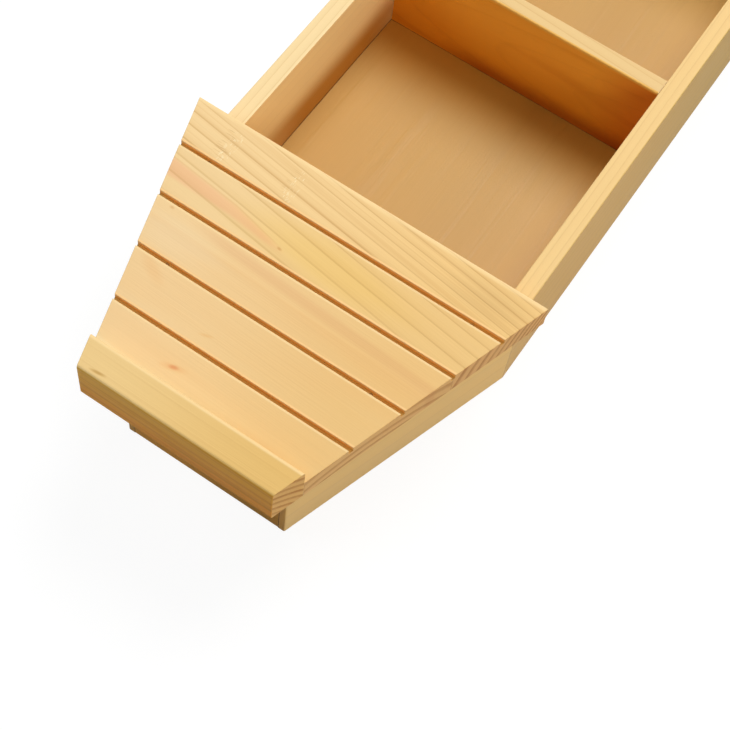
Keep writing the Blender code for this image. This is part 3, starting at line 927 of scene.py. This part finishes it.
def dress_ends():
    for end, x in ENDS.items():
        for side, y in SIDES.items():
            cheek = hull_timber(
                fibre=Vector((x, -y * SLOPE, 0.01)),
                pith=Vector((x * (BEND + 0.05), y * (HALF_WIDTH + 0.065), 0.0)),
                early=(0.93, 0.67, 0.29),
                face_lines=0.2,
                end_early=(0.66, 0.38, 0.11),
                end_late=(0.48, 0.25, 0.06),
            )
            dress(f"cheek_{end}_{side}", cheek)
        transom = hull_timber(
            fibre=CROSS_GRAIN,
            pith=Vector((x * (TRANSOM_FACE + 0.07), 0.0, -0.03)),
            early=(0.88, 0.48, 0.14),
            late=(0.60, 0.29, 0.075),
            roughness=0.7,
            gloss=0.05,
        )
        dress(f"transom_{end}", transom, mark_transom)
        bulkhead = hull_timber(fibre=CROSS_GRAIN, pith=Vector((x * (BEND - 0.05), 0.0, 0.10)))
        dress(f"bulkhead_{end}", bulkhead)


def dress_middle():
    # The divider's deep orange wood is painted shade and bounce light for its bow face; the stern face and
    # the top are covered in plain pine
    divider = hull_timber(
        fibre=Vector((0.08, 1.0, 0.02)),
        pith=Vector((0.035, 0.0, 0.03)),
        first=0.020,
        ring=0.0032,
        early=(0.94, 0.39, 0.042),
        late=(0.70, 0.25, 0.020),
        face_lines=0.22,
        gloss=0.12,
    )
    dress("divider", divider, mark_divider)
    # The bottom board's colours are darker than the other boards' as painted shade over its whole face;
    # their yellow cast is its own
    bottom = hull_timber(
        fibre=Vector((1.0, 0.01, 0.0)),
        pith=Vector((0.0, 0.02, -0.12)),
        first=0.10,
        ring=0.004,
        early=(0.56, 0.325, 0.088),
        late=(0.46, 0.25, 0.06),
        face_lines=0.12,
        roughness=0.42,
    )
    dress("floor_board", bottom, mark_bottom_board)


BRIGHT_STEEL = (0.58, 0.57, 0.55)
DULL_STEEL = (0.36, 0.33, 0.30)
STEEL_SCRATCH_WAVES = (900.0, 900.0, 9000.0)
STEEL_SCRATCH_NUMBER = 3.0
STEEL_STAIN_WAVES = (700.0, 700.0, 700.0)
STEEL_STAIN_NUMBER = 5.0
STEEL_STAIN_SPREAD = (0.0, 0.35)
STEEL_ROUGHNESS = 0.38
STEEL_SCRATCH_ROUGHNESS = 0.25
STEEL_SCRATCH_DEPTH = 0.00002


def dress_pins():
    steel = new_finish("pin_steel")
    place = steel.node("ShaderNodeTexCoord", output="Object")
    scratches = steel.noise(place, STEEL_SCRATCH_WAVES, STEEL_SCRATCH_NUMBER)
    stains = steel.noise(place, STEEL_STAIN_WAVES, STEEL_STAIN_NUMBER)
    colour = steel.mix(steel.rise(stains, *STEEL_STAIN_SPREAD), paint(BRIGHT_STEEL), paint(DULL_STEEL))
    roughness = STEEL_ROUGHNESS + scratches * STEEL_SCRATCH_ROUGHNESS
    material = steel.surface(colour, roughness, scratches, STEEL_SCRATCH_DEPTH, Metallic=1.0)
    for name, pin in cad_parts.items():
        if name.startswith("pin_"):
            clad(pin, material)


LUMP_WAVES = (900.0, 900.0, 900.0)
LUMP_NUMBER = 2.0
LUMP_ROUGHNESS = 0.2
LUMP_DEPTH = 0.00008
MOTTLE_WAVES = (160.0, 160.0, 160.0)
MOTTLE_NUMBER = 4.0
MOTTLE_SPREAD = (-0.15, 0.25)
MOTTLE_LUMPS = 0.4


def dried(name, light, dark, roughness):
    """A finish for glue or putty, mottled and a little lumpy."""
    mass = new_finish(name)
    place = mass.node("ShaderNodeTexCoord", output="Object")
    lumps = mass.noise(place, LUMP_WAVES, LUMP_NUMBER)
    mottle = mass.noise(place, MOTTLE_WAVES, MOTTLE_NUMBER)
    share = mass.rise(mottle + lumps * MOTTLE_LUMPS, *MOTTLE_SPREAD)
    colour = mass.mix(share, paint(light), paint(dark))
    return mass.surface(colour, roughness + lumps * LUMP_ROUGHNESS, lumps, LUMP_DEPTH)


def add_piece(name, shape, material):
    bmesh.ops.recalc_face_normals(shape, faces=shape.faces)
    mesh = bpy.data.meshes.new(name)
    shape.to_mesh(mesh)
    shape.free()
    mesh.materials.append(material)
    piece = bpy.data.objects.new(name, mesh)
    bpy.context.scene.collection.objects.link(piece)
    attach(piece, "root")


@dataclass
class Joint:
    """A glued joint: one corner of its thin sheet of glue, and the two sides that meet there."""

    name: str
    corner: Vector
    run: Vector
    depth: Vector


# Where the joints lie
MITRE = BEND - WALL * tan(TAPER / 2)
SHOULDER = TRANSOM_FACE - WALL
STANDING = BOARD_TOP + GLUE_GAP
FOOT = BOARD_TOP + GLUE_GAP / 2
SEAT = WALL_TOP + GLUE_GAP / 2
WALL_JOINT = INNER_HALF - GLUE_GAP / 2
GLUE_ACROSS = GLUE_GAP / cos(TAPER)
LET_IN = TRANSOM_HALF - CHEEK_END - GLUE_GAP / 2


def cheek_outer(x):
    return HALF_WIDTH - SLOPE * (x - BEND)


def cheek_inner(x):
    return cheek_outer(x) - CHEEK_ACROSS


def cheek_joints(end, x, side, y):
    """The joints of one cheek."""
    name = f"{end}_{side}"
    full_height = UP * WALL_TOP

    def tapered(start, stop):
        return Vector((x * (stop - start), -y * SLOPE * (stop - start), 0.0))

    corner = Vector((x * BEND, y * HALF_WIDTH, 0.0))
    through = Vector((x * (MITRE - BEND), -y * WALL, 0.0))
    yield Joint(f"glue_mitre_{name}", corner, full_height, through)
    corner = Vector((x * MITRE, y * (cheek_inner(MITRE) - GLUE_ACROSS / 2), 0.0))
    yield Joint(f"glue_floor_{name}", corner, tapered(MITRE, SHOULDER), UP * BOARD_TOP)
    corner = Vector((x * DECK_EDGE, y * cheek_outer(DECK_EDGE), SEAT))
    run = tapered(DECK_EDGE, TRANSOM_FACE)
    yield Joint(f"glue_seat_{name}", corner, run, CROSSWISE * (-y * CHEEK_ACROSS))
    corner = Vector((x * BEND, y * (cheek_inner(BEND) - GLUE_ACROSS / 2), STANDING))
    yield Joint(f"glue_bulkhead_{name}", corner, UP * (WALL_TOP - STANDING), tapered(BEND, BEND + WALL))
    corner = Vector((x * TRANSOM_FACE, y * LET_IN, 0.0))
    yield Joint(f"glue_transom_{name}", corner, full_height, LENGTHWISE * (-x * WALL))


def end_joints(end, x):
    """The joints that cross the boat at one end."""
    through = LENGTHWISE * (x * WALL)
    half = cheek_inner(SHOULDER) - GLUE_ACROSS
    corner = Vector((x * (SHOULDER + GLUE_GAP / 2), -half, 0.0))
    yield Joint(f"glue_floor_{end}", corner, CROSSWISE * (2 * half), UP * BOARD_TOP)
    half = cheek_inner(BEND + WALL) - GLUE_ACROSS
    run = CROSSWISE * (2 * half)
    yield Joint(f"glue_bulkhead_foot_{end}", Vector((x * BEND, -half, FOOT)), run, through)
    covered = LENGTHWISE * (x * (BEND + WALL - DECK_EDGE))
    yield Joint(f"glue_bulkhead_seat_{end}", Vector((x * DECK_EDGE, -half, SEAT)), run, covered)
    half = LET_IN - GLUE_GAP
    corner = Vector((x * SHOULDER, -half, SEAT))
    yield Joint(f"glue_transom_seat_{end}", corner, CROSSWISE * (2 * half), through)


def hull_joints():
    thick = LENGTHWISE * (2 * DIVIDER_FACE)
    corner = Vector((-DIVIDER_FACE, -WALL_JOINT, FOOT))
    yield Joint("glue_divider_foot", corner, CROSSWISE * (2 * WALL_JOINT), thick)
    for side, y in SIDES.items():
        corner = Vector((-MITRE, y * WALL_JOINT, 0.0))
        yield Joint(f"glue_floor_{side}", corner, LENGTHWISE * (2 * MITRE), UP * BOARD_TOP)
        corner = Vector((-DIVIDER_FACE, y * WALL_JOINT, STANDING))
        yield Joint(f"glue_divider_{side}", corner, UP * (WALL_TOP - STANDING), thick)
        for end, x in ENDS.items():
            yield from cheek_joints(end, x, side, y)
    for end, x in ENDS.items():
        yield from end_joints(end, x)


def deck_joints():
    """The joint under each deck's second groove, and the one at the foot of its lip."""
    places = (
        ("deck", FIRST_GROOVE + PLANK, DECK_TOP - GROOVE_DEPTH),
        ("lip", LIP_START - GLUE_GAP / 2, DECK_TOP),
    )
    for end, x in ENDS.items():
        for name, along, top in places:
            half = deck_half(along)
            corner = Vector((x * (DECK_EDGE + along), -half, DECK_BOTTOM))
            yield Joint(f"glue_{name}_{end}", corner, CROSSWISE * (2 * half), UP * (top - DECK_BOTTOM))


GLUE_HALF = 0.00014
GLUE_SETBACK = 0.00004
GLUE_UNEVENNESS = (0.6, 1.5)
GLUE_STEP = 0.004
GLUE_ROWS = 2


def make_glue(joint, material, draw):
    """A thin sheet of glue between two boards, whose uneven rim lies a little under their faces."""
    length = joint.run.length
    width = joint.depth.length
    run = joint.run.normalized()
    depth = joint.depth.normalized()
    off = joint.run.cross(joint.depth).normalized() * GLUE_HALF
    steps = max(2, round(length / GLUE_STEP))
    shape = bmesh.new()
    pairs = {}
    for step in range(steps + 1):
        for row in range(GLUE_ROWS + 1):
            setback = GLUE_SETBACK * draw.uniform(*GLUE_UNEVENNESS)
            on_run = min(max(length * step / steps, setback), length - setback)
            on_depth = min(max(width * row / GLUE_ROWS, setback), width - setback)
            middle = joint.corner + run * on_run + depth * on_depth
            pairs[step, row] = (shape.verts.new(middle + off), shape.verts.new(middle - off))
    for layer in (0, 1):
        for step in range(steps):
            for row in range(GLUE_ROWS):
                ring = ((step, row), (step + 1, row), (step + 1, row + 1), (step, row + 1))
                shape.faces.new([pairs[place][layer] for place in ring])
    rim = [(step, 0) for step in range(steps)]
    rim += [(steps, row) for row in range(GLUE_ROWS)]
    rim += [(step, GLUE_ROWS) for step in range(steps, 0, -1)]
    rim += [(0, row) for row in range(GLUE_ROWS, 0, -1)]
    for here, there in zip(rim, rim[1:] + rim[:1]):
        shape.faces.new([pairs[here][0], pairs[there][0], pairs[there][1], pairs[here][1]])
    add_piece(joint.name, shape, material)


PUTTY_RADIUS = 0.0007
PUTTY_HEIGHT = 0.00045
PUTTY_SIDES = 14
PUTTY_PROFILE = ((1.0, 0.0), (1.0, 0.7), (0.82, 0.93), (0.45, 1.0))  # shares of the radius and the height
PUTTY_UNEVENNESS = (0.95, 1.0)
PUTTY_GAP = 0.00003  # over a pin's head


def make_putty(name, place, material, draw):
    """A dab of putty over a pin's head in the bottom of a groove."""
    shape = bmesh.new()
    rings = []
    for radius, height in PUTTY_PROFILE:
        ring = []
        for side in range(PUTTY_SIDES):
            turn = 2 * pi * side / PUTTY_SIDES
            reach = PUTTY_RADIUS * radius * draw.uniform(*PUTTY_UNEVENNESS)
            offset = Vector((reach * cos(turn), reach * sin(turn), PUTTY_HEIGHT * height))
            ring.append(shape.verts.new(place + offset))
        rings.append(ring)
    for lower, upper in zip(rings, rings[1:]):
        for side in range(PUTTY_SIDES):
            after = (side + 1) % PUTTY_SIDES
            shape.faces.new([lower[side], lower[after], upper[after], upper[side]])
    shape.faces.new(rings[0])
    shape.faces.new(rings[-1])
    add_piece(name, shape, material)


DRAW_SEED = 5
# Joints whose glue is nearly black, as painted shade in their gaps
JOINTS_IN_SHADE = ("floor", "foot", "transom")
GLUE_LIGHT = (0.72, 0.48, 0.20)
GLUE_DARK = (0.58, 0.36, 0.14)
# Nearly black glue: painted shade in the gaps
SHADE_GLUE_LIGHT = (0.16, 0.075, 0.018)
SHADE_GLUE_DARK = (0.09, 0.04, 0.010)
PUTTY_LIGHT = (0.56, 0.33, 0.13)
PUTTY_DARK = (0.42, 0.23, 0.08)


def make_joints():
    """Glue between the boards, nearly black in the joints by the bottom board and the transoms as painted
    shade in those gaps, and putty over the pins in the decks.
    """
    draw = Random(DRAW_SEED)
    glue = dried("dried_glue", GLUE_LIGHT, GLUE_DARK, roughness=0.5)
    shade_glue = dried("darkened_glue", SHADE_GLUE_LIGHT, SHADE_GLUE_DARK, roughness=0.9)
    putty = dried("pine_putty", PUTTY_LIGHT, PUTTY_DARK, roughness=0.7)
    for joint in hull_joints():
        in_shade = any(word in joint.name for word in JOINTS_IN_SHADE)
        make_glue(joint, shade_glue if in_shade else glue, draw)
    for joint in deck_joints():
        make_glue(joint, glue, draw)
    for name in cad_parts:
        if name.startswith("pin_deck_"):
            low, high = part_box(name)
            head = Vector(((low[0] + high[0]) / 2, (low[1] + high[1]) / 2, high[2] + PUTTY_GAP))
            make_putty(name.replace("pin_", "putty_"), head, putty, draw)


def make_floor():
    mesh = bpy.data.meshes.new("studio_floor")
    half = FLOOR_REACH / 2
    corners = [(-half, -half, 0.0), (half, -half, 0.0), (half, half, 0.0), (-half, half, 0.0)]
    mesh.from_pydata(corners, [], [(0, 1, 2, 3)])
    floor = bpy.data.objects.new("studio_floor", mesh)
    bpy.context.scene.collection.objects.link(floor)
    paper = new_finish("studio_floor_paper")
    white = paper.node("ShaderNodeBsdfDiffuse", None, {"Color": paint((FLOOR_SHADE,) * 3)})
    glow = paper.node("ShaderNodeEmission", None, {"Strength": FLOOR_GLOW})
    shown = paper.node("ShaderNodeAddShader", None, {0: white, 1: glow})
    bounce = paper.node("ShaderNodeBsdfDiffuse", None, {"Color": paint(FLOOR_BOUNCE)})
    mixed = paper.node("ShaderNodeMixShader", None, {0: paper.in_sight(), 1: bounce, 2: shown})
    paper.node("ShaderNodeOutputMaterial", None, {"Surface": mixed})
    mesh.materials.append(paper.owner)


def add_lamp(name, place, aim, size, watts, colour):
    lamp = bpy.data.lights.new(name, "AREA")
    lamp.shape = "DISK"
    lamp.size = size
    lamp.energy = watts
    lamp.color = colour
    stand = bpy.data.objects.new(name, lamp)
    stand.location = place
    stand.rotation_euler = (aim - place).to_track_quat("-Z", "Y").to_euler()
    bpy.context.scene.collection.objects.link(stand)


def light_room():
    add_lamp("key_lamp", KEY_PLACE, KEY_AIM, KEY_SIZE, KEY_WATTS, KEY_COLOUR)
    add_lamp("fill_lamp", FILL_PLACE, BOW_AIM, FILL_SIZE, FILL_WATTS, FILL_COLOUR)
    add_lamp("window_lamp", WINDOW_PLACE, BOW_AIM, WINDOW_SIZE, WINDOW_WATTS, WINDOW_COLOUR)
    room = Finish(bpy.data.worlds.new("room"))
    light = room.node("ShaderNodeBackground", None, {"Color": paint(ROOM_COLOUR), "Strength": ROOM_STRENGTH})
    backdrop = room.node("ShaderNodeBackground", None, {"Color": paint(WHITE), "Strength": FAR_FLOOR})
    mixed = room.node("ShaderNodeMixShader", None, {0: room.in_sight(), 1: light, 2: backdrop})
    room.node("ShaderNodeOutputWorld", None, {"Surface": mixed})
    bpy.context.scene.world = room.owner
    bpy.context.scene.view_settings.view_transform = "Standard"


def place_camera():
    camera = bpy.data.cameras.new("camera")
    camera.sensor_width = CAMERA_SENSOR
    camera.lens = CAMERA_LENS
    stand = bpy.data.objects.new("camera", camera)
    aim = (CAMERA_TARGET - CAMERA_EYE).to_track_quat("-Z", "Y").to_matrix()
    turned = aim @ Matrix.Rotation(CAMERA_ROLL, 3, "Z")
    stand.matrix_world = Matrix.Translation(CAMERA_EYE) @ turned.to_4x4()
    bpy.context.scene.collection.objects.link(stand)
    bpy.context.scene.camera = stand


place_camera()
light_room()
make_floor()
for end_name, end_sign in ENDS.items():
    dress_deck(end_name, end_sign)
dress_walls()
dress_ends()
dress_middle()
dress_pins()
make_joints()
